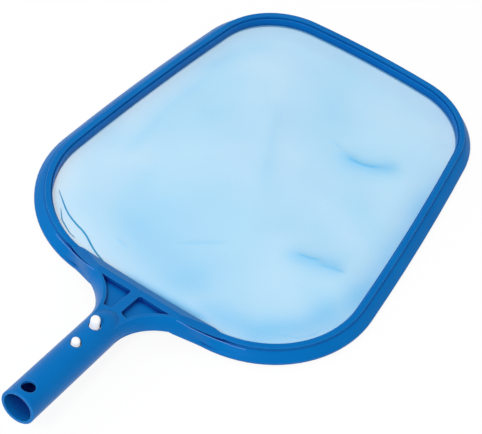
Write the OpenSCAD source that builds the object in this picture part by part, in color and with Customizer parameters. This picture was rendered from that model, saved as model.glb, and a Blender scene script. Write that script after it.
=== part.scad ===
// Hand leaf skimmer for a pool or spa: one moulded frame with a socket handle,
// a flat mesh net held on a ledge by a pressed-in ring, and a sprung button clip
// inside the handle that locks it to a telescopic pole.
//
// Frame of reference: the origin is the centre of the handle's open mouth.
// +Y runs from the mouth towards the net, +Z is up, X is across. Sizes in mm.

/* [Net opening] */
// Clear width of the opening at its widest
net_w = 271.2; // [230:1:320]
// Clear length of the opening, near edge to far edge
net_l = 344.4; // [300:1:400]
// Corner radius at the two corners beside the handle
near_r = 84; // [70:1:95]
// Corner radius at the two far corners
far_r = 62; // [50:1:75]
// Radius of the bowed near edge
near_bow = 617; // [500:10:900]
// Radius of the bowed far edge
far_bow = 784; // [600:10:1200]
// Radius of the gently bowed sides
side_bow = 2440; // [1800:20:4000]
// Angle that each side leans in where it leaves the near corner
side_taper = 3.3; // [2:0.1:4.5]

/* [Rim section] */
// Thickness of the ledge that the net lies on
ledge_t = 1.6; // [1.2:0.1:2.4]
// Width of the ledge inside the upright wall
ledge_w = 1.4; // [1.2:0.1:2]
// Width of the bead on top of the wall
bead_w = 4.8; // [4:0.1:6]
// Height of the bead's top above the floor
bead_h = 11.9; // [10:0.1:14]
// Depth of the solid bead
bead_d = 4.3; // [3:0.1:5]
// Thickness of the upright wall and the sloping skirt
skin = 2; // [1.6:0.1:2.4]
// Skirt overhang past the opening at the sides and near edge
skirt_w = 14.4; // [13.6:0.1:17]
// Skirt overhang past the far edge
skirt_far = 11; // [10.6:0.1:13]
// Corner radius of the skirt at the two far corners
skirt_far_r = 80; // [74:1:84]
// Height of the skirt's lower edge above the floor
skirt_z = 2.1; // [1.6:0.1:3]

/* [Handle] */
// Outside diameter, a slide fit in a 1-1/4 inch telescopic pole
tube_d = 28; // [26:0.1:30]
// Wall thickness of the handle
tube_wall = 2.4; // [2:0.1:2.8]
// Distance from the mouth to the near edge of the opening
reach = 158; // [150:1:180]
// Height of the mouth's centre above the floor
mouth_h = 37.5; // [35:0.5:40]
// Angle that the handle rises at towards its mouth
tube_tilt = 7.73; // [6.5:0.1:9]
// Length of the rounded end inside the neck
nose_l = 19; // [17:1:21]
// Diameter of the pole's lock hole beside the mouth
lock_d = 10.8; // [8:0.1:12]
// Distance of the lock hole from the mouth
lock_at = 10.3; // [9:0.1:14]

/* [Neck] */
// Plan length of the neck, from the handle's rounded end to the opening
neck_run = 44.8; // [42:0.2:48]
// Height of the neck's flat top over the handle's axis, at the rounded end
deck_rise = 8.4; // [7:0.1:9.5]
// Height of the flat top's front edge above the floor
shelf_h = 23.5; // [21:0.1:25]
// Plan length of the slope from there down to the opening
front_run = 10.9; // [9:0.1:13]
// Height of that slope's foot above the floor
lip_h = 16; // [14:0.1:17]
// Width of the flat top where it starts to fall into the rim
deck_w = 76; // [66:1:86]
// Width over which the neck runs out along the rim
wing_w = 144; // [134:1:156]
// Depth of the neck's side walls
deck_t = 12; // [11:0.5:13]
// Plan radius of the fillets between handle and rim
fillet_r = 45.5; // [42:0.5:48]
// Depth of the shoulder between the fillets and the opening
shoulder_w = 15.3; // [13:0.1:18]
// Turn of each fillet before it runs straight on along the rim
wing_turn = 33; // [30:1:36]
// Half width at which the skirt leaves the rim and climbs to the fillets
ramp_x = 60; // [56:1:64]
// Turn of that climbing skirt away from the rim
ramp_turn = 25.5; // [22:0.5:28]
// Angle at which it climbs
ramp_rise = 22; // [18:0.5:24]
// Depth of the two weight-saving pockets
pocket_t = 4.5; // [3:0.1:5]
// Thickness of the wall between pocket and fillet
pocket_wall = 6.1; // [5:0.1:8]
// Width of the rib between the pockets
rib_w = 7.5; // [5:0.1:9]

/* [Net and ring] */
// Thickness of the mesh cloth
mesh_t = 0.3; // [0.2:0.05:0.5]
// Spacing of the strands that stand for the fine mesh
mesh_pitch = 20; // [20:0.5:26]
// Width of one strand
strand_w = 1.2; // [0.8:0.1:2]
// Thickness of the retaining ring
ring_t = 1.3; // [1:0.05:1.3]
// Height of the retaining ring above the net
ring_h = 7.3; // [5:0.1:8]

/* [Button clip] */
// Distance of the arm's flexing root from the mouth
hinge_at = 38; // [34:0.5:42]
// Distance of the short button from the mouth
short_at = 64.3; // [62:0.1:66]
// Distance of the tall button from the mouth
tall_at = 87.3; // [86:0.1:89]
// Diameter of the short button
short_d = 6.5; // [5.5:0.1:7]
// Diameter of the tall button
tall_d = 7.3; // [6.5:0.1:7.6]
// Height that the short button stands proud of the handle
short_h = 5; // [4:0.1:5.5]
// Height that the tall button stands proud of the handle
tall_h = 9.4; // [8:0.1:9.6]
// Width of the clip's legs
clip_w = 9; // [7:0.5:10]
// Thickness of the clip's legs
clip_t = 2.2; // [1.8:0.1:2.4]

/* [Hidden] */

$fn = 96;
eps = 0.01;
blue = [0.11, 0.44, 0.73];
aqua = [0.68, 0.85, 0.96];
white = [0.96, 0.96, 0.97];

tube_r = tube_d / 2;
bore_r = tube_r - tube_wall;

// Where the handle's rounded end dips under the neck's flat top, and the
// length of straight handle that reaches it
nose_over = 2.8;
deck_y = reach - neck_run;
deck_h = mouth_h - deck_y * tan(tube_tilt) + deck_rise;
deck_tilt = atan2(deck_h - shelf_h, neck_run - front_run);
tube_l = deck_y / cos(tube_tilt) + nose_over - nose_l;
// Lip inside which the bead's top edges are broken
bead_edge = 0.4;
wall_out = ledge_w + skin;
bead_out = ledge_w + bead_w;
// The clip's back stands clear of the bore, and its arm a little more
clip_gap = 0.05;
arm_gap = 0.3;
// How far the bows and sides run into the corners, and how much slimmer they are
joint = 1;
hair = 0.02;
$slim = 0;
// Underside and top of the skirt where it runs in under the bead
skirt_in = 9;
skirt_top = 9.7;

// Running room round the buttons: the holes sit forward, because the
// buttons swing forward as they go down
short_hole_d = short_d + 1.9;
tall_hole_d = tall_d + 2;
short_lead = 0.3;
tall_lead = 0.4;

// Height of the clip's mid-plane over the tube's axis
clip_mid = sqrt(pow(bore_r - arm_gap, 2) - pow(clip_w / 2, 2)) - clip_t / 2;
root_r = clip_t / 2;
bend_at = hinge_at - 0.6;
arm_end = tall_at + tall_d / 2 + 2;

// ---- Outlines ---------------------------------------------------------------

// Centre of a corner that touches two larger arcs from inside
function between(p, dp, q, dq) =
  let (d = norm(q - p))
  let (a = (dp * dp - dq * dq + d * d) / (2 * d))
  let (h = sqrt(dp * dp - a * a))
  let (e = (q - p) / d)
  p + a * e + h * [-e[1], e[0]];

// Right-hand arcs of a four-cornered outline, each [centre, radius, from, sweep]
function arcs(w, l, y0, rn, rf, bn, bf, bs, taper) =
  let (cn = [0, y0 + bn])
  let (x1 = w / 2 - rn)
  let (c1 = [x1, cn[1] - sqrt(pow(bn - rn, 2) - x1 * x1)])
  let (a1 = asin(x1 / (bn - rn)))
  let (cs = c1 - (bs - rn) * [cos(taper), sin(taper)])
  let (cf = [0, y0 + l - bf])
  let (c2 = between(cs, bs - rf, cf, bf - rf))
  let (a2 = atan2(c2[1] - cs[1], c2[0] - cs[0]))
  let (a3 = atan2(c2[1] - cf[1], c2[0] - cf[0]))
  [
    [cn, bn, -90 - a1, 2 * a1],
    [c1, rn, a1 - 90, 90 - a1 + taper],
    [cs, bs, taper, a2 - taper],
    [c2, rf, a2, a3 - a2],
    [cf, bf, a3, 180 - 2 * a3]
  ];

opening = arcs(net_w, net_l, reach, near_r, far_r, near_bow, far_bow, side_bow, side_taper);
brim = arcs(
  net_w + 2 * skirt_w,
  net_l + skirt_w + skirt_far,
  reach - skirt_w,
  near_r + skirt_w,
  skirt_far_r,
  near_bow + skirt_w,
  far_bow + skirt_far,
  side_bow + skirt_w,
  side_taper
);

// Number of facets along an arc
function steps(arc) = max(6, ceil(abs(arc[3]) / 4));

// Sweep a section along one arc: its x runs outwards from the outline.
// more lengthens both ends by that many degrees.
module along(arc, more = 0) {
  n = steps(arc);
  turn = arc[3] + 2 * more;
  translate([arc[0][0], arc[0][1], 0])
    rotate_extrude(angle = turn, start = arc[2] - more, $fn = 360 * (n - 0.01) / turn)
      translate([arc[1], 0])
        children();
}

// A bow or side: a hair slimmer, and run into the corners at both ends
module bow_along(arc) {
  along(arc, asin(joint / arc[1]), $slim = hair) children();
}

// Sweep a section all round an outline
module around(outline) {
  bow_along(outline[0]) children();
  bow_along(outline[4]) children();
  both() {
    along(outline[1]) children();
    bow_along(outline[2]) children();
    along(outline[3]) children();
  }
}

// Points of a flat outline, moved outwards by out
function arc_points(arc, out) =
  let (n = steps(arc))
  [for (i = [0:n - 1])
    let (a = arc[2] + arc[3] * i / n)
    arc[0] + (arc[1] + out) * [cos(a), sin(a)]];

function half_points(outline, out) = [for (i = [1:3]) each arc_points(outline[i], out)];

function loop_points(outline, out) =
  let (near = arc_points(outline[0], out))
  let (right = half_points(outline, out))
  let (far = arc_points(outline[4], out))
  let (left = [for (i = [len(right) - 1:-1:0]) [-right[i][0], right[i][1]]])
  concat(near, right, far, left);

// ---- Frames of reference ----------------------------------------------------

// On the floor below the mouth, Z up from the floor
module on_floor() {
  translate([0, 0, -mouth_h]) children();
}

// Along the handle: Y from the mouth inwards, Z square to the handle
module in_tube() {
  rotate([-tube_tilt, 0, 0]) children();
}

// On the neck's sloping top: Z = 0 is its surface
module on_deck() {
  on_floor()
    translate([0, deck_y, deck_h])
      rotate([-deck_tilt, 0, 0])
        children();
}

module both() {
  children();
  mirror([1, 0, 0]) children();
}

// ---- Rim --------------------------------------------------------------------

module rim_section() {
  s = $slim;
  polygon([
    [s, s],
    [wall_out - s, s],
    [wall_out - s, bead_h - bead_d + s],
    [bead_out - s, bead_h - bead_d + s],
    [bead_out - s, bead_h - bead_edge],
    [bead_out - bead_edge, bead_h - s],
    [ledge_w + bead_edge, bead_h - s],
    [ledge_w + s, bead_h - bead_edge],
    [ledge_w + s, ledge_t - s],
    [s, ledge_t - s]
  ]);
}

// Convex skirt, from its blunt edge in to the bead
module skirt_section() {
  s = $slim;
  rise = skirt_top - skirt_z - skin;
  polygon([
    [-s, skirt_z + s],
    [-s, skirt_z + 0.9 * skin],
    [-0.5, skirt_z + 1.2 * skin - s],
    [-2.4, skirt_z + skin + 0.40 * rise - s],
    [-4.6, skirt_z + skin + 0.73 * rise - s],
    [-7, skirt_z + skin + 0.96 * rise - s],
    [s - skirt_in, skirt_top - s],
    [s - skirt_in, skirt_top - skin + s],
    [-6.4, skirt_top - 1.2 * skin + s],
    [-4, skirt_z + 0.60 * rise + s],
    [-2.2, skirt_z + 0.26 * rise + s],
    [-1.4, skirt_z + s]
  ]);
}

// ---- Neck -------------------------------------------------------------------

// Along the flat top: where it breaks into the front slope, and the opening
shelf_end = (neck_run - front_run) / cos(deck_tilt);
neck_end = neck_run / cos(deck_tilt);
// Centre of each fillet, and the height of the flank that is swept round it
fillet_x = tube_r + fillet_r;
fillet_y = neck_end - shoulder_w - fillet_r;
flank_z = fillet_y * sin(deck_tilt - tube_tilt) - deck_rise * cos(deck_tilt);
// Depth below the flat top of the bead's top and of the skirt's edge
bead_z = (deck_h - neck_end * sin(deck_tilt) - bead_h) / cos(deck_tilt);
foot_z = (deck_h - neck_end * sin(deck_tilt) - skirt_z) / cos(deck_tilt);
// The neck's outer ends lie this far below the bead's top
sunk = 0.9;
// How far the straight wall laps into the fillet and lies below it, so that
// their facets cross and never meet in one point
wing_lap = 0.3;

// Across the neck: flat in the middle, falling to the bead on each side
module neck_front() {
  half = [
    [deck_w / 2, 0],
    [wing_w / 2, -bead_z - sunk],
    [wing_w / 2, -bead_z - sunk - bead_d],
    [(deck_w + wing_w) / 4, -foot_z],
    [deck_w / 2 - skin, -deck_t]
  ];
  polygon(concat(half, [for (i = [len(half) - 1:-1:0]) [-half[i][0], half[i][1]]]));
}

// The handle's flank as a cut: everything nearer than r at the widest point
function flank_points(r, far, n) =
  let (top = asin(-flank_z / tube_r))
  concat(
    [[far, tube_r], [far, -3 * deck_t], [r, -3 * deck_t]],
    [for (i = [0:n])
      let (a = top * i / n)
      [r + tube_r * (1 - cos(a)), flank_z + tube_r * sin(a)]],
    [[r + tube_r * (1 - cos(top)) + tube_r, tube_r]]
  );

// Round cut whose wall follows the handle's flank
module fillet_cut() {
  translate([fillet_x, fillet_y, 0])
    rotate_extrude($fn = 120)
      polygon(flank_points(fillet_r, 0, 6));
}

// The same flank, carried straight on along the rim
module wing_cut() {
  translate([
    fillet_x - fillet_r * sin(wing_turn),
    fillet_y + fillet_r * cos(wing_turn),
    -wing_lap
  ])
    rotate([0, 0, wing_turn])
      rotate([90, 0, 90])
        linear_extrude(wing_w / 2)
          polygon(flank_points(-wing_lap, -wing_w / 2, 5));
}

// The skirt leaves the rim and climbs straight to the fillet's flank
module skirt_ramp() {
  // Lengths by which it starts inside the skirt and ends inside the flank
  lead_in = 4;
  lead_out = 11;
  edge_r = near_bow + skirt_w;
  run = ramp_x - (fillet_x - fillet_r * cos(wing_turn) + lead_out);
  translate([ramp_x, reach + near_bow - sqrt(edge_r * edge_r - ramp_x * ramp_x), 0])
    rotate([0, 0, 180 + ramp_turn])
      rotate([0, -ramp_rise, 0])
        translate([-lead_in, 0, 0])
          rotate([90, 0, 90])
            linear_extrude(run / cos(ramp_turn) / cos(ramp_rise) + lead_in)
              skirt_section();
}

// Slope from the flat top down to the opening
module front_cut() {
  run = (reach - ledge_w - deck_y) * cos(deck_tilt) + (deck_h - lip_h) * sin(deck_tilt) - shelf_end;
  drop = (deck_h - lip_h) * cos(deck_tilt) - (reach - ledge_w - deck_y) * sin(deck_tilt);
  translate([-wing_w, shelf_end, 0])
    rotate([-atan2(drop, run), 0, 0])
      cube([2 * wing_w, 2 * neck_run, deck_h]);
}

module pocket() {
  corner_r = 1.5;
  rear = 0.2;
  front = shelf_end - 5.7;
  inner = rib_w / 2;
  translate([0, 0, -pocket_t])
    linear_extrude(pocket_t + 1)
      difference() {
        polygon([
          [inner, rear + 4],
          [inner + corner_r, rear + 2.4],
          [inner + 9, rear],
          [deck_w / 2, rear],
          [deck_w / 2, front - 0.7],
          [inner + corner_r, front],
          [inner, front - corner_r]
        ]);
        translate([fillet_x, fillet_y])
          circle(r = fillet_r + pocket_wall, $fn = 120);
      }
}

// The neck is open underneath, with a wall all round
module neck_hollow() {
  floor_t = 2.4;
  rear = nose_over + 3.2;
  translate([0, 0, -2 * deck_t])
    linear_extrude(2 * deck_t - pocket_t - floor_t)
      difference() {
        translate([skin - deck_w / 2, rear])
          square([deck_w - 2 * skin, shelf_end - floor_t - rear]);
        both()
          translate([fillet_x, fillet_y])
            circle(r = fillet_r + floor_t, $fn = 120);
      }
}

module neck() {
  difference() {
    on_deck()
      difference() {
        translate([0, neck_end + 6, 0])
          rotate([90, 0, 0])
            linear_extrude(neck_end + 6 - fillet_y)
              neck_front();
        both() fillet_cut();
        both() wing_cut();
        front_cut();
        both() pocket();
        neck_hollow();
      }
    // The opening stays clear
    on_floor()
      translate([0, reach + near_bow, -deck_h])
        cylinder(r = near_bow + ledge_w, h = 3 * deck_h, $fn = 720);
  }
  // Gate mark left by the mould
  on_deck()
    translate([0, shelf_end - 1.4, -0.5])
      cylinder(d = 1.6, h = 0.9, $fn = 24);
}

// ---- Handle -----------------------------------------------------------------

// Closed tube with an elliptical end and a broken edge at its mouth
module tube_shape(r, from, length, nose, edge = eps) {
  translate([0, from, 0])
    rotate([-90, 0, 0])
      rotate_extrude()
        polygon(concat(
          [[0, 0], [r - edge, 0], [r, edge]],
          [for (i = [0:9])
            let (a = 90 * i / 9)
            [i == 9 ? 0 : r * cos(a), length + nose * sin(a)]]
        ));
}

// Inside of the handle, less a clearance all round: the clip stays within it
module bore_shape(from, gap = 0) {
  tube_shape(bore_r - gap, from, tube_l - gap - from, nose_l - tube_wall);
}

module wall_hole(at, d) {
  in_tube()
    translate([0, at, 0])
      cylinder(d = d, h = tube_d, $fn = 64);
}

module frame() {
  color(blue)
    difference() {
      union() {
        on_floor() around(opening) rim_section();
        on_floor() around(brim) skirt_section();
        neck();
        on_floor() both() skirt_ramp();
        in_tube() tube_shape(tube_r, 0, tube_l, nose_l, bead_edge);
      }
      in_tube() bore_shape(-1);
      wall_hole(lock_at, lock_d);
      wall_hole(short_at + short_lead, short_hole_d);
      wall_hole(tall_at + tall_lead, tall_hole_d);
    }
}

// ---- Net and retaining ring -------------------------------------------------

module net_ring() {
  color(blue)
    on_floor()
      translate([0, 0, ledge_t + mesh_t])
        around(opening)
          ring_section();
}

module ring_section() {
  s = $slim;
  lead = 0.4;
  polygon([
    [s, s],
    [ring_t - s, s],
    [ring_t - s, ring_h - s],
    [lead, ring_h - s],
    [s, ring_h - lead]
  ]);
}

module net() {
  across = floor(net_w / 2 / mesh_pitch);
  along_n = floor(net_l / 2 / mesh_pitch);
  edge = loop_points(opening, ring_t - 0.1);
  color(aqua)
    on_floor()
      translate([0, 0, ledge_t])
        linear_extrude(mesh_t)
          difference() {
            polygon(edge);
            intersection() {
              polygon(loop_points(opening, -1));
              translate([0, reach + net_l / 2])
                for (i = [-across - 1:across], j = [-along_n - 1:along_n])
                  translate([(i + 0.5) * mesh_pitch, (j + 0.5) * mesh_pitch])
                    square(mesh_pitch - strand_w, center = true);
            }
          }
}

// ---- Button clip ------------------------------------------------------------

// Domed pin standing on the arm, with a stouter root inside the wall's hole
module button(at, d, proud) {
  step = 0.2;
  r = d / 2;
  root = r + step;
  root_top = tube_r + step / 2;
  top = tube_r + proud;
  translate([0, at, 0])
    rotate_extrude($fn = 64)
      polygon(concat(
        [[0, clip_mid], [root, clip_mid], [root, root_top], [r, root_top]],
        [for (i = [0:7])
          let (a = 90 * i / 7)
          [i == 7 ? 0 : r * cos(a), top - r + r * sin(a)]]
      ));
}

// Lower leg and spring bend
module clip_base() {
  color(white)
    in_tube()
      difference() {
        union() {
          // Leg on the floor of the bore
          intersection() {
            bore_shape(bend_at - 1, clip_gap);
            translate([-clip_w / 2, bend_at, -bore_r])
              cube([clip_w, arm_end - bend_at, bore_r - clip_mid + root_r]);
          }
          // Half-round bend and the stub that carries the arm
          translate([0, bend_at, 0])
            rotate([0, 90, 0])
              rotate_extrude(angle = 180, start = 180, $fn = 96)
                translate([clip_mid - root_r, -clip_w / 2])
                  square([clip_t, clip_w]);
          translate([-clip_w / 2, bend_at - eps, clip_mid - root_r])
            cube([clip_w, hinge_at - bend_at + eps, clip_t]);
        }
        // Round seat of the flexing root
        translate([-clip_w, hinge_at, clip_mid])
          rotate([0, 90, 0])
            cylinder(r = root_r + clip_gap, h = 2 * clip_w, $fn = 48);
      }
}

// Upper leg with both buttons, swinging about its root
module clip_arm() {
  color(white)
    in_tube()
      union() {
        translate([-clip_w / 2, hinge_at, clip_mid])
          rotate([0, 90, 0])
            cylinder(r = root_r, h = clip_w, $fn = 48);
        intersection() {
          bore_shape(hinge_at - 1, arm_gap / 2);
          translate([-clip_w / 2, hinge_at, clip_mid - root_r])
            cube([clip_w, arm_end - hinge_at, clip_t]);
        }
        button(short_at, short_d, short_h);
        button(tall_at, tall_d, tall_h);
      }
}

frame();
net_ring();
net();
clip_base();
clip_arm();
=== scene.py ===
import math

import bpy
import numpy as np
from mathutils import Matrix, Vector, noise


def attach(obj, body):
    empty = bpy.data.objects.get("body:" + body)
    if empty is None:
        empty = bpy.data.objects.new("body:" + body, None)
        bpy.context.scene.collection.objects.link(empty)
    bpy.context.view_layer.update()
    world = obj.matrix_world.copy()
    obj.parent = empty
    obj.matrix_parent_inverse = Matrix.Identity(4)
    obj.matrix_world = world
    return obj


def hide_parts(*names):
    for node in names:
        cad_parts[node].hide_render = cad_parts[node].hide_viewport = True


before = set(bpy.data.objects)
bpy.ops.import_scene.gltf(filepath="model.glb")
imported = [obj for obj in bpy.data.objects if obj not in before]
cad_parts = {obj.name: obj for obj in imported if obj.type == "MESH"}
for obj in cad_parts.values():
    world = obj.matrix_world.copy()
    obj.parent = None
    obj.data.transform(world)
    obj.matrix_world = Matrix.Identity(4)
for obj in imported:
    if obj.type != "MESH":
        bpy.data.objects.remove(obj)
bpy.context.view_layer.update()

# ---- Frame moulding ----------------------------------------------------------
# Rim, neck and socket handle are one piece of blue polypropylene, injection
# moulded. The tool was lightly etched, so the skin is satin with soft glints,
# and every edge leaves the tool with a small radius.


def linear(hex_code):
    """An sRGB hex colour as the linear RGBA that sockets take."""
    channels = [int(hex_code[i : i + 2], 16) / 255 for i in (1, 3, 5)]
    return [c / 12.92 if c < 0.04045 else ((c + 0.055) / 1.055) ** 2.4 for c in channels] + [1.0]


def new_material(title):
    """A material whose node tree is still empty."""
    material = bpy.data.materials.new(title)
    material.use_nodes = True
    material.node_tree.nodes.clear()
    return material


def add(material, kind, sockets=None, **settings):
    """Adds a node with its settings; a socket takes a value or another node's output."""
    made = material.node_tree.nodes.new(kind)
    for setting, value in settings.items():
        setattr(made, setting, value)
    for socket, value in (sockets or {}).items():
        if isinstance(value, bpy.types.NodeSocket):
            material.node_tree.links.new(value, made.inputs[socket])
        else:
            made.inputs[socket].default_value = value
    return made


def mottle(material, place, per_metre, detail=2.0, distortion=0.0):
    """Noise from 0 to 1, with about that many blotches in a metre."""
    sockets = {"Vector": place, "Scale": per_metre, "Detail": detail, "Distortion": distortion}
    return add(material, "ShaderNodeTexNoise", sockets).outputs["Fac"]


def ranged(material, value, start, stop, low=0.0, high=1.0):
    """Low where the value is at start, high where it is at stop, and held beyond."""
    sockets = {"Value": value, "From Min": start, "From Max": stop, "To Min": low, "To Max": high}
    return add(material, "ShaderNodeMapRange", sockets).outputs["Result"]


def reckon(material, operation, *terms, **settings):
    """Result of one step of arithmetic on two or three terms."""
    sockets = dict(enumerate(terms))
    made = add(material, "ShaderNodeMath", sockets, operation=operation, **settings)
    return made.outputs["Value"]


def blend(material, share, under, over):
    """Mixes two colours, each of them a hex code or another node's output."""
    a, b = (linear(c) if isinstance(c, str) else c for c in (under, over))
    sockets = {"Factor": share, "A": a, "B": b}
    return add(material, "ShaderNodeMix", sockets, data_type="RGBA").outputs["Result"]


def openness(material, reach):
    """How much of what is around a point, out to that reach, is free of the object."""
    made = add(material, "ShaderNodeAmbientOcclusion", {"Distance": reach}, samples=8)
    return made.outputs["AO"]


def rounded_edges(material, radius):
    """The surface's direction as if each edge had that radius."""
    return add(material, "ShaderNodeBevel", {"Radius": radius}, samples=6).outputs["Normal"]


def relief(material, height, depth, strength, **over):
    """Fine relief of that depth, on the bare surface or over other relief."""
    sockets = {"Height": height, "Distance": depth, "Strength": strength, **over}
    return add(material, "ShaderNodeBump", sockets).outputs["Normal"]


def satin_polypropylene(title, deep, pale, worn_and_highlit, painted_shade_colour, edge_mm, shine):
    """Moulded polypropylene: even pigment with faint flow marks, a fine etched
    skin and rounded edges. Free-standing edges are painted paler, partly as wear and
    partly as painted highlight, and recesses are painted darker as painted shade."""
    plastic = new_material(title)
    place = add(plastic, "ShaderNodeTexCoord").outputs["Object"]

    # Pigment drifts over about 50 mm, as the melt flowed from the gate
    flow = mottle(plastic, place, per_metre=20.0, detail=3.0)
    pigment = blend(plastic, flow, deep, pale)

    # Painted shade: recesses and bores up to 26 mm across are painted darker, and
    # grooves a few millimetres wide are painted darker still
    around_bores = openness(plastic, reach=0.026)
    around_grooves = openness(plastic, reach=0.005)
    wide_painted_shade = ranged(plastic, around_bores, start=0.62, stop=0.25, high=0.95)
    narrow_painted_shade = ranged(plastic, around_grooves, start=0.78, stop=0.4, high=0.85)
    pigment = blend(plastic, wide_painted_shade, pigment, painted_shade_colour)
    pigment = blend(plastic, narrow_painted_shade, pigment, painted_shade_colour)

    # The further a rounded edge turns from the bare surface, the paler it is painted,
    # partly as wear and partly as painted highlight, but only where it stands free;
    # inner corners keep their colour
    rounded = rounded_edges(plastic, edge_mm / 1000)
    bare = add(plastic, "ShaderNodeNewGeometry").outputs["Normal"]
    aligned = add(
        plastic, "ShaderNodeVectorMath", {0: rounded, 1: bare}, operation="DOT_PRODUCT"
    ).outputs["Value"]
    on_edge = ranged(plastic, aligned, start=0.98, stop=0.75, high=0.6)
    stands_free = ranged(plastic, around_bores, start=0.42, stop=0.6)
    rubbed_and_highlit = reckon(plastic, "MULTIPLY", on_edge, stands_free)
    colour = blend(plastic, rubbed_and_highlit, pigment, worn_and_highlit)

    # Etched skin with grains of 0.25 mm, drawn at 0.8 mm so that it shows. Its
    # gloss changes in patches of about 11 mm
    grain = mottle(plastic, place, per_metre=1250.0, detail=1.0)
    skin = relief(plastic, grain, depth=0.00004, strength=0.2, Normal=rounded)
    patches = mottle(plastic, place, per_metre=90.0, detail=4.0)
    roughness = ranged(plastic, patches, start=0.0, stop=1.0, low=0.27, high=0.4)
    surface = add(
        plastic,
        "ShaderNodeBsdfPrincipled",
        {
            "Base Color": colour,
            "Roughness": roughness,
            "Normal": skin,
            "IOR": 1.49,
            "Specular IOR Level": shine,
            # Translucent blue skin tints what it mirrors
            "Specular Tint": linear("#7FB6FF"),
        },
    )
    add(plastic, "ShaderNodeOutputMaterial", {"Surface": surface.outputs["BSDF"]})
    return plastic


frame_plastic = satin_polypropylene(
    "polypropylene_satin_blue",
    deep="#0061AC",
    pale="#0674BE",
    # Edges painted paler: partly wear, partly painted highlight
    worn_and_highlit="#5FA9E2",
    # Painted shade in recesses and grooves
    painted_shade_colour="#0C2882",
    edge_mm=0.7,
    shine=0.16,
)
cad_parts["frame"].material_slots[0].material = frame_plastic

# ---- Skirt crests ------------------------------------------------------------
# Part of the same moulding: on each side of the neck the top edge of the rim's
# skirt stands up as a low crest and climbs to the flat top. It leaves a narrow
# groove between itself and the bead.

floor_z = -0.0375
# Stations in millimetres: across, then the neck's edge, the crest's top and the
# crest's outer foot, each as distance from the mouth and height above the floor
crest_stations = [
    (34, (139.6, 25.0), (139.4, 24.3), (135.0, 17.5)),
    (38, (141.3, 24.1), (140.6, 23.7), (137.0, 17.0)),
    (42, (143.0, 22.8), (141.8, 22.6), (138.8, 14.5)),
    (48, (145.2, 20.8), (143.2, 20.6), (142.6, 8.0)),
    (54, (147.7, 18.3), (145.6, 18.2), (146.4, 4.6)),
    (60, (150.5, 15.6), (148.4, 15.5), (147.7, 4.1)),
    (66, (153.7, 13.2), (151.4, 12.9), (147.8, 4.3)),
    (72, (156.6, 11.9), (154.4, 10.8), (149.0, 4.4)),
    (79, (158.5, 11.9), (156.5, 10.0), (150.9, 4.6)),
    (87, (161.4, 11.9), (159.4, 9.5), (154.4, 5.4)),
    (96, (166.1, 11.9), (163.8, 8.0), (159.6, 5.2)),
]
# Sections from the first station to the last, points over the rounding of each,
# and those down its flank as shares of the way
crest_steps = 80
rounding_points = 7
flank_shares = (0.15, 0.4, 0.7, 1.0)
# All in millimetres: least and greatest half width of the crest, the height of
# its rounding, the straight wall under that, and how far the flank swells
crest_half_least, crest_half_most = 0.1, 0.45
crest_rounding, crest_wall, flank_swell = 0.4, 0.3, 0.4
# How deep both roots are sunk in the moulding, and how far in the foot's is
neck_root_depth, foot_root_depth, foot_root_inset = 2.6, 0.5, 2.5
# Share of the way from the crest to the neck's edge that goes to the crest's
# half width, and that its inner root stays off that edge
crest_share = 0.3


def crest_section(edge_y, edge_z, top_y, top_z, foot_y, foot_z):
    """Closed section in millimetres: up from a root sunk beside the neck's edge,
    over the rounded top, and down the flank to a root sunk at its foot."""
    setback = crest_share * (edge_y - top_y)
    half = min(crest_half_most, setback + crest_half_least)
    shoulder_z = top_z - crest_rounding
    section = [
        (edge_y - setback, min(edge_z, top_z) - neck_root_depth),
        (top_y + half, shoulder_z - crest_wall),
    ]
    for k in range(rounding_points):
        a = math.pi * k / (rounding_points - 1)
        section.append((top_y + half * math.cos(a), shoulder_z + crest_rounding * math.sin(a)))
    for share in flank_shares:
        swell = flank_swell * math.sin(math.pi * share)
        y = (1 - share) * (top_y - half) + share * foot_y - swell
        section.append((y, (1 - share) * shoulder_z + share * foot_z))
    return section + [(foot_y + foot_root_inset, foot_z - foot_root_depth)]


def soften(column, reach=9):
    """Moving average that keeps the ends."""
    half = reach // 2
    return np.convolve(np.pad(column, half, mode="edge"), np.ones(reach) / reach, "valid")


def mesh_of(title, vertices, faces):
    """A mesh from its points and its faces."""
    made = bpy.data.meshes.new(title)
    made.from_pydata(vertices, [], faces)
    return made


def placed(title, data):
    """A new object in the scene that carries a mesh, lamp or camera."""
    made = bpy.data.objects.new(title, data)
    bpy.context.scene.collection.objects.link(made)
    return made


station_x = np.array([station[0] for station in crest_stations], float)
crest_x = np.linspace(station_x[0], station_x[-1], crest_steps)
crest_marks = [
    soften(np.interp(crest_x, station_x, [station[mark][i] for station in crest_stations]))
    for mark in (1, 2, 3)
    for i in (0, 1)
]
crest_sections = [crest_section(*marks) for marks in zip(*crest_marks)]
section_size = len(crest_sections[0])
last_section = section_size * (crest_steps - 1)
# The rounding starts at a section's third point, and all its strips but the one
# next to the flank get the paler material, a painted highlight
highlit_strips = range(2, rounding_points)

crest_vertices, crest_faces, crest_highlit = [], [], []
for side in (1, -1):
    first = len(crest_vertices)
    for x, section in zip(crest_x, crest_sections):
        crest_vertices += [(side * x / 1000, y / 1000, z / 1000 + floor_z) for y, z in section]
    for step in range(crest_steps - 1):
        low = first + step * section_size
        for k in range(section_size):
            a, b = low + k, low + (k + 1) % section_size
            face = (a, b, b + section_size, a + section_size)
            crest_faces.append(face[::side])
            crest_highlit.append(k in highlit_strips)
    near_end = range(section_size - 1, -1, -1)
    far_end = range(last_section, last_section + section_size)
    for end in (near_end, far_end):
        face = tuple(first + k for k in end)
        crest_faces.append(face[::side])
        crest_highlit.append(False)

crest_mesh = mesh_of("skirt_crests", crest_vertices, crest_faces)
flank_faces = [len(polygon.vertices) == 4 for polygon in crest_mesh.polygons]
crest_mesh.polygons.foreach_set("use_smooth", flank_faces)
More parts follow.
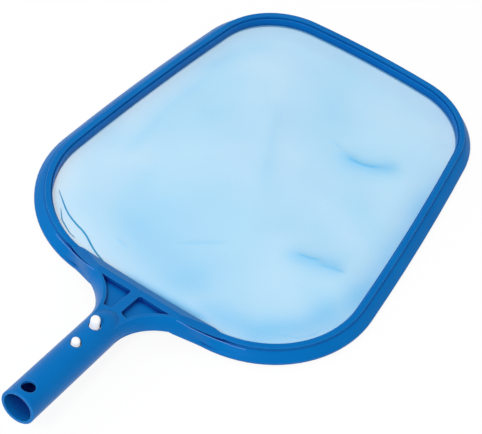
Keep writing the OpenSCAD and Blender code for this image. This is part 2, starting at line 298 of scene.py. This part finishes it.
# The crest's top is drawn in a paler material as a painted highlight
highlight_plastic = satin_polypropylene(
    "polypropylene_highlight_blue",
    deep="#3E83CC",
    pale="#6E94DA",
    worn_and_highlit="#8FB2EA",
    # Painted shade in recesses and grooves
    painted_shade_colour="#0C2882",
    edge_mm=0.2,
    shine=0.3,
)
crest_mesh.materials.append(frame_plastic)
crest_mesh.materials.append(highlight_plastic)
crest_mesh.polygons.foreach_set("material_index", [int(rubbed_and_highlit) for rubbed_and_highlit in crest_highlit])
skirt_crests = placed("skirt_crests", crest_mesh)
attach(skirt_crests, "skimmer")

# ---- Net ---------------------------------------------------------------------
# Woven polyester mesh in pale aqua, cut to the rim's outline and laid on its
# ledge. It is slack enough to billow a little, and it keeps the creases that it
# was folded with, plus two tucks where the ring caught it near the handle.

net_width = 0.2712
net_length = 0.3444
near_edge_y = 0.158
cloth_mid_z = -0.03575
under_ring = 0.0012


def meeting_corner(p, reach_p, q, reach_q):
    """Centre of a corner that touches two larger arcs from inside."""
    gap = (q - p).length
    foot = (reach_p**2 - reach_q**2 + gap**2) / (2 * gap)
    rise = math.sqrt(reach_p**2 - foot**2)
    way = (q - p) / gap
    return p + foot * way + rise * Vector((-way.y, way.x))


def rim_outline(outwards, per_arc):
    """Closed outline of the rim's opening from its arcs, moved outwards."""
    near_r, far_r, near_bow, far_bow, side_bow = 0.084, 0.062, 0.617, 0.784, 2.44
    lean = math.radians(3.3)
    bow_c = Vector((0, near_edge_y + near_bow))
    corner_x = net_width / 2 - near_r
    near_c = Vector((corner_x, bow_c.y - math.sqrt((near_bow - near_r) ** 2 - corner_x**2)))
    near_a = math.asin(corner_x / (near_bow - near_r))
    side_c = near_c - (side_bow - near_r) * Vector((math.cos(lean), math.sin(lean)))
    far_c = Vector((0, near_edge_y + net_length - far_bow))
    tip_c = meeting_corner(side_c, side_bow - far_r, far_c, far_bow - far_r)
    side_a = math.atan2(tip_c.y - side_c.y, tip_c.x - side_c.x)
    far_a = math.atan2(tip_c.y - far_c.y, tip_c.x - far_c.x)
    quarter = math.pi / 2
    right_half = [
        (bow_c, near_bow, -quarter, near_a - quarter),
        (near_c, near_r, near_a - quarter, lean),
        (side_c, side_bow, lean, side_a),
        (tip_c, far_r, side_a, far_a),
        (far_c, far_bow, far_a, quarter),
    ]
    points = []
    for centre, radius, start, stop in right_half:
        for i in range(per_arc):
            a = start + (stop - start) * i / per_arc
            points.append(centre + (radius + outwards) * Vector((math.cos(a), math.sin(a))))
    points.append(Vector((0, near_edge_y + net_length + outwards)))
    left_half = [Vector((-p.x, p.y)) for p in reversed(points[1:-1])]
    return np.array([(p.x, p.y) for p in points + left_half])


def closed(path):
    """The path with its first point again at its end."""
    return np.concatenate([path, path[:1]])


def evenly(path, count, endpoint=True):
    """The same path as that many points at even spacing."""
    run = np.concatenate([[0], np.cumsum(np.hypot(*np.diff(path, axis=0).T))])
    at = np.linspace(0, run[-1], count, endpoint=endpoint)
    return np.stack([np.interp(at, run, path[:, k]) for k in (0, 1)], axis=1)


def to_path(points, path):
    """Distance of each point to a path, and how far along the path that is."""
    best = np.full(len(points), np.inf)
    along = np.zeros(len(points))
    legs = np.diff(path, axis=0)
    lengths = np.hypot(*legs.T)
    start = 0.0
    for corner, leg, length in zip(path[:-1], legs, lengths):
        t = np.clip(((points - corner) @ leg) / length**2, 0, 1)
        away = np.hypot(*(points - corner - t[:, None] * leg).T)
        nearer = away < best
        best[nearer] = away[nearer]
        along[nearer] = (start + t * length)[nearer]
        start += length
    return best, along / start


def smooth(x):
    """Rises from 0 to 1 as x does, with soft ends."""
    x = np.clip(x, 0, 1)
    return x * x * (3 - 2 * x)


def bell(x):
    """1 where x is 0, falling to nothing about 2 away from it."""
    return np.exp(-(x**2))


# Creases left by folding, and bands of painted glow and painted shade: path in
# millimetres, half width, height, doubling
creases_and_painted_light = [
    (
        [(29, 391), (42, 388), (53, 387), (65, 390), (75, 396), (84, 405), (91, 414)],
        14.0,
        1.2,
        0.34,
    ),
    ([(37, 389), (50, 387), (61, 388), (71, 393), (80, 401)], 3.8, 0.8, 0.58),
    ([(18, 397), (31, 395), (45, 391), (59, 390)], 2.2, 0.4, 0.2),
    ([(54, 262), (70, 267), (88, 272), (101, 277), (114, 281)], 15.0, 1.2, 0.34),
    ([(64, 267), (77, 270), (92, 276)], 3.4, 0.8, 0.55),
    ([(82, 268), (95, 272), (112, 278)], 3.6, 0.6, 0.48),
    # Painted glow: a fuller, deeper aqua along the near hem, where the blue neck shades the cloth
    # and throws blue light on it
    ([(-46, 166), (-14, 164.5), (12, 165), (36, 167.5), (70, 174)], 9.0, 0.2, 0.6),
    # Painted shade: the next four broad, low bands draw the cloth darker and fuller near the rim's
    # wall and in a dip
    ([(10, 168), (84, 184), (112, 212), (126, 270)], 24.0, 0.4, 0.38),
    ([(122, 206), (130, 280), (126, 350), (116, 440)], 18.0, 0.3, 0.3),
    ([(-84, 226), (-40, 204), (0, 190), (60, 196)], 36.0, 0.3, 0.2),
    ([(-110, 380), (-98, 430), (-70, 470)], 16.0, 0.3, 0.14),
    ([(-56, 191), (-49, 190), (-38, 188)], 1.8, 0.5, 0.35),
    ([(84, 186), (98, 192), (113, 200), (121, 211), (125, 232)], 2.2, 0.6, 0.45),
    ([(-20, 211), (1, 229), (23, 248)], 3.5, 0.6, 0.16),
    ([(-38, 416), (-16, 364), (15, 300)], 12.0, 1.0, 0.12),
    ([(-98, 240), (-104, 330), (-96, 430)], 9.0, 0.8, 0.1),
]
# A crease fades out over this share of its length at each end, its hard core
# takes this share of its width, and this much of its doubling
crease_fade, core_width, core_doubling = 0.3, 0.45, 0.55
# Tucks where the cloth is doubled over: path in millimetres, half width
long_tuck = [(-121, 205), (-112, 198), (-100, 189), (-89, 184)]
long_tuck += [(-75, 180), (-60, 171), (-46, 166), (-26, 160)]
short_tuck = [(-107, 190), (-98, 180), (-85, 173), (-78, 171.5)]
tucks = [(long_tuck, 0.8), (short_tuck, 0.5)]
# Sections of a tuck, its lift off the cloth along the middle and the edges, and
# its doubling
tuck_steps, tuck_lift, tuck_edge_lift, tuck_doubling = 70, 0.0007, 0.0001, 0.9
# Swells of the cloth: height, number in a metre, and the slice of noise used
swells = [(0.0011, 9, 3.1), (0.0006, 26, 8.4)]
# Rise of the middle, deepest dip, the ring's grip beyond its own edge, and the
# run over which the cloth comes free of it
middle_rise, deepest_dip, ring_grip, slack_run = 0.0014, 0.0011, 0.0006, 0.022

# Rings of points from the middle out to the hem, closer together near the hem
around_count, inward_count, crowding = 600, 100, 0.8
rim_points = rim_outline(under_ring, per_arc=60)
hem = evenly(closed(rim_points), around_count, endpoint=False)
heart = np.array([0.0, near_edge_y + net_length / 2])
shares = np.linspace(0, 1, inward_count + 1)[1:] ** crowding
flat_points = np.concatenate([[heart]] + [heart + share * (hem - heart) for share in shares])
hem_distance = to_path(flat_points, closed(hem))[0]
free = smooth((hem_distance - under_ring - ring_grip) / slack_run)

height = np.array(
    [
        sum(rise * noise.noise((x * per_metre, y * per_metre, z)) for rise, per_metre, z in swells)
        for x, y in flat_points
    ]
)
height += middle_rise * free
doubled_and_shaded = np.zeros(len(flat_points))
for path_mm, half_mm, rise_mm, share in creases_and_painted_light:
    away, along = to_path(flat_points, np.array(path_mm) / 1000)
    ends = smooth(along / crease_fade) * smooth((1 - along) / crease_fade)
    shape = bell(away / (half_mm / 1000)) * ends
    core = bell(away / (core_width * half_mm / 1000)) * ends
    height += rise_mm / 1000 * shape
    layers = (1 - core_doubling) * shape + core_doubling * core
    doubled_and_shaded = np.maximum(doubled_and_shaded, share * layers)
height = np.maximum(height * free, -deepest_dip) + cloth_mid_z

# Along the left side and round its corner the hem was pulled, so the threads
# stand further apart there, in a band of 16 mm. The pull is full up to 21 cm
# from the mouth and a quarter of that from 31 cm on
pulled_band, far_pull = 0.016, 0.25
left_side = smooth((0.012 - flat_points[:, 0]) / 0.09)
near_handle = smooth((0.31 - flat_points[:, 1]) / 0.1)
pull = far_pull + (1 - far_pull) * near_handle
spread = left_side * pull * bell(hem_distance / pulled_band)

vertices = [(x, y, z) for (x, y), z in zip(flat_points, height)]
faces = [(0, 1 + i, 1 + (i + 1) % around_count) for i in range(around_count)]
for ring in range(inward_count - 1):
    low = 1 + ring * around_count
    high = low + around_count
    for i in range(around_count):
        j = (i + 1) % around_count
        faces.append((low + i, high + i, high + j, low + j))

# Each tuck is a narrow second layer that tapers out at both ends
taper = np.sqrt(np.clip(np.sin(np.pi * np.linspace(0, 1, tuck_steps)), 0.002, 1))
for path_mm, half_mm in tucks:
    spine = evenly(np.array(path_mm, float) / 1000, tuck_steps)
    spine = np.apply_along_axis(soften, 0, spine)
    onward = np.gradient(spine, axis=0)
    sideways = np.stack([-onward[:, 1], onward[:, 0]], axis=1) / np.hypot(*onward.T)[:, None]
    first = len(vertices)
    for centre, aside, half in zip(spine, sideways, half_mm / 1000 * taper):
        nearest = np.argmin(np.hypot(*(flat_points - centre).T))
        for way, lift in ((-1, tuck_edge_lift), (0, tuck_lift), (1, tuck_edge_lift)):
            x, y = centre + way * half * aside
            vertices.append((x, y, height[nearest] + lift))
    for step in range(tuck_steps - 1):
        for k in (0, 1):
            a = first + 3 * step + k
            faces.append((a, a + 1, a + 4, a + 3))

net_mesh = mesh_of("net_cloth", vertices, faces)
in_tucks = len(vertices) - len(flat_points)
for title, values, tuck_value in (("doubled_and_shaded", doubled_and_shaded, tuck_doubling), ("spread", spread, 0.0)):
    layer = net_mesh.attributes.new(title, "FLOAT", "POINT")
    all_values = np.concatenate([values, np.full(in_tucks, tuck_value)])
    layer.data.foreach_set("value", all_values.astype(np.float32))
net_mesh.polygons.foreach_set("use_smooth", [True] * len(net_mesh.polygons))
net_cloth = placed("net_cloth", net_mesh)

# Plain-woven polyester: clear-coloured threads with open holes between them, so
# that what lies behind shows through. Threads run 0.9 mm apart on the real
# cloth and are drawn 1.7 mm apart so that the weave shows.
thread_pitch = 0.0017
# At scale 1 a wave texture has a band every 2 pi / 20 metres
bands = 2 * math.pi / 20 / thread_pitch
mesh_cloth = new_material("polyester_mesh_aqua")
on_cloth = add(mesh_cloth, "ShaderNodeTexCoord").outputs["Object"]
off_grain = (0, 0, math.radians(2.5))
skewed = add(mesh_cloth, "ShaderNodeMapping", {"Vector": on_cloth, "Rotation": off_grain})
warp, weft = (
    add(
        mesh_cloth,
        "ShaderNodeTexWave",
        {"Vector": skewed.outputs["Vector"], "Scale": bands, "Distortion": 0.0},
        bands_direction=direction,
    ).outputs["Fac"]
    for direction in ("X", "Y")
)
threads = reckon(mesh_cloth, "MAXIMUM", warp, weft)
fold_and_shade = add(mesh_cloth, "ShaderNodeAttribute", attribute_name="doubled_and_shaded").outputs["Fac"]
pulled = add(mesh_cloth, "ShaderNodeAttribute", attribute_name="spread").outputs["Fac"]

# Threads and holes, which show more in some places than in others
woven = ranged(mesh_cloth, threads, start=0.35, stop=0.8, low=-0.5, high=0.5)
clear_places = mottle(mesh_cloth, on_cloth, per_metre=17.0, detail=1.0)
clearness = ranged(mesh_cloth, clear_places, start=0.42, stop=0.68, low=0.06, high=0.2)
mean_cover = 0.66
cover = reckon(mesh_cloth, "MULTIPLY_ADD", woven, clearness, mean_cover)
# The threads lie closer in some places than in others, are pushed apart where
# the hem was pulled over the ledge, and cover more where the cloth is doubled and
# under the bands of painted glow and painted shade
billow = mottle(mesh_cloth, on_cloth, per_metre=8.0, detail=2.0, distortion=0.6)
uneven = ranged(mesh_cloth, billow, start=0.3, stop=0.7, low=-0.09, high=0.09)
pulled_loss, fold_and_shade_gain = -0.18, 0.4
cover = reckon(mesh_cloth, "ADD", cover, uneven)
cover = reckon(mesh_cloth, "MULTIPLY_ADD", pulled, pulled_loss, cover)
cover = reckon(mesh_cloth, "MULTIPLY_ADD", fold_and_shade, fold_and_shade_gain, cover, use_clamp=True)

# Uneven dye; two layers look a fuller aqua, and a hard fold darker still. The
# same marks paint the glow along the near hem and the shade near the rim
drift = mottle(mesh_cloth, on_cloth, per_metre=13.0, detail=2.0)
aqua = blend(mesh_cloth, drift, "#6EC4F0", "#98D9F8")
aqua = blend(mesh_cloth, ranged(mesh_cloth, fold_and_shade, start=0.0, stop=0.55), aqua, "#4DB9EE")
aqua = blend(mesh_cloth, ranged(mesh_cloth, fold_and_shade, start=0.5, stop=0.9), aqua, "#1B97C8")
cloth_surface = add(
    mesh_cloth,
    "ShaderNodeBsdfPrincipled",
    {
        "Base Color": aqua,
        "Alpha": cover,
        "Normal": relief(mesh_cloth, threads, depth=0.00012, strength=0.3),
        "Roughness": 0.55,
        "IOR": 1.57,
        "Specular IOR Level": 0.2,
    },
)
add(mesh_cloth, "ShaderNodeOutputMaterial", {"Surface": cloth_surface.outputs["BSDF"]})
net_mesh.materials.append(mesh_cloth)

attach(net_cloth, "skimmer")
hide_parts("net")

# ---- Retaining ring ----------------------------------------------------------
# A thin hoop of the same polypropylene, pressed down inside the rim's wall. It
# pins the cloth on the ledge. Its skin is duller than the frame's; its small edges
# are painted pale, partly as wear and partly as painted highlight, and its
# recesses get painted shade.

ring_plastic = satin_polypropylene(
    "polypropylene_smooth_blue",
    deep="#0567B4",
    pale="#0C78C6",
    # Edges painted paler: partly wear, partly painted highlight
    worn_and_highlit="#7FA8E6",
    # Painted shade in recesses
    painted_shade_colour="#06428F",
    edge_mm=0.3,
    shine=0.08,
)
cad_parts["net_ring"].material_slots[0].material = ring_plastic

# ---- Spring clip -------------------------------------------------------------
# One bent strip of white acetal with two domed pins moulded on its upper leg.
# It is pushed into the handle, and its pins snap up through the wall.

acetal = new_material("acetal_moulded_white")
on_clip = add(acetal, "ShaderNodeTexCoord").outputs["Object"]
handled = mottle(acetal, on_clip, per_metre=160.0, detail=3.0)
fine_skin = mottle(acetal, on_clip, per_metre=900.0)
pin_edges = rounded_edges(acetal, 0.0005)
pin_surface = add(
    acetal,
    "ShaderNodeBsdfPrincipled",
    {
        "Base Color": blend(acetal, handled, "#F7F7FA", "#FCFCFD"),
        "Normal": relief(acetal, fine_skin, depth=0.00003, strength=0.3, Normal=pin_edges),
        "Roughness": 0.3,
        "IOR": 1.48,
    },
)
add(acetal, "ShaderNodeOutputMaterial", {"Surface": pin_surface.outputs["BSDF"]})
for leg in ("clip_base", "clip_arm"):
    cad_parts[leg].material_slots[0].material = acetal

# ---- Studio ------------------------------------------------------------------
# The skimmer lies on a white sweep under soft lamps. The floor shows white and
# keeps the skimmer's shadow.

sweep_z = floor_z - 0.0001
sweep_half = 4
sweep_corners = [
    (x * sweep_half, y * sweep_half, sweep_z) for x, y in ((-1, -1), (1, -1), (1, 1), (-1, 1))
]
sweep_mesh = mesh_of("floor", sweep_corners, [(0, 1, 2, 3)])
sweep = placed("floor", sweep_mesh)

# What is seen of the paper is 90% plain white; the rest takes light and shadow
paper_glow = 0.9
paper = new_material("paper_matt_white")
paper_ray = add(paper, "ShaderNodeLightPath").outputs
seen = reckon(paper, "MAXIMUM", paper_ray["Is Camera Ray"], paper_ray["Is Glossy Ray"])
seen = reckon(paper, "MAXIMUM", seen, paper_ray["Is Transmission Ray"])
shown = reckon(paper, "MULTIPLY", seen, paper_glow)
matt = add(paper, "ShaderNodeBsdfDiffuse", {"Color": linear("#FCFCFC")})
bright = add(paper, "ShaderNodeEmission", {"Color": (1, 1, 1, 1), "Strength": 1.0})
sheet_of_paper = add(
    paper,
    "ShaderNodeMixShader",
    {0: shown, 1: matt.outputs["BSDF"], 2: bright.outputs["Emission"]},
)
add(paper, "ShaderNodeOutputMaterial", {"Surface": sheet_of_paper.outputs["Shader"]})
sweep_mesh.materials.append(paper)

# The room looks pure white, and gives the skimmer 60% of that as light
room_light = 0.6
room = bpy.data.worlds.new("white_room")
room.use_nodes = True
room.node_tree.nodes.clear()
room_ray = add(room, "ShaderNodeLightPath").outputs
lit = reckon(room, "MULTIPLY_ADD", room_ray["Is Camera Ray"], 1 - room_light, room_light)
sky = add(room, "ShaderNodeBackground", {"Color": (1, 1, 1, 1), "Strength": lit})
add(room, "ShaderNodeOutputWorld", {"Surface": sky.outputs["Background"]})
bpy.context.scene.world = room


def soft_lamp(title, spot, aim, size, watts):
    """A round lamp at a spot, turned to its aim."""
    lamp = bpy.data.lights.new(title, "AREA")
    lamp.shape = "DISK"
    lamp.size = size
    lamp.energy = watts
    stand = placed(title, lamp)
    stand.location = spot
    stand.rotation_euler = (Vector(aim) - Vector(spot)).to_track_quat("-Z", "Y").to_euler()


middle = (0, 0.25, -0.02)
soft_lamp("key_lamp", (0.1, -1.2, 1.7), middle, size=0.5, watts=23)
soft_lamp("fill_lamp", (-1.3, 0.5, 1.3), middle, size=1.4, watts=6)

bpy.context.scene.view_settings.view_transform = "Standard"

camera_data = bpy.data.cameras.new("camera")
camera_data.lens = 116.294
camera_data.sensor_width = 36
camera_data.shift_x = -0.01623
camera_data.shift_y = 0.00345
camera = placed("camera", camera_data)
camera.location = (0.36599, -0.48560, 0.90742)
camera.rotation_euler = [math.radians(a) for a in (41.0785, -7.5026, 33.0945)]
bpy.context.scene.camera = camera
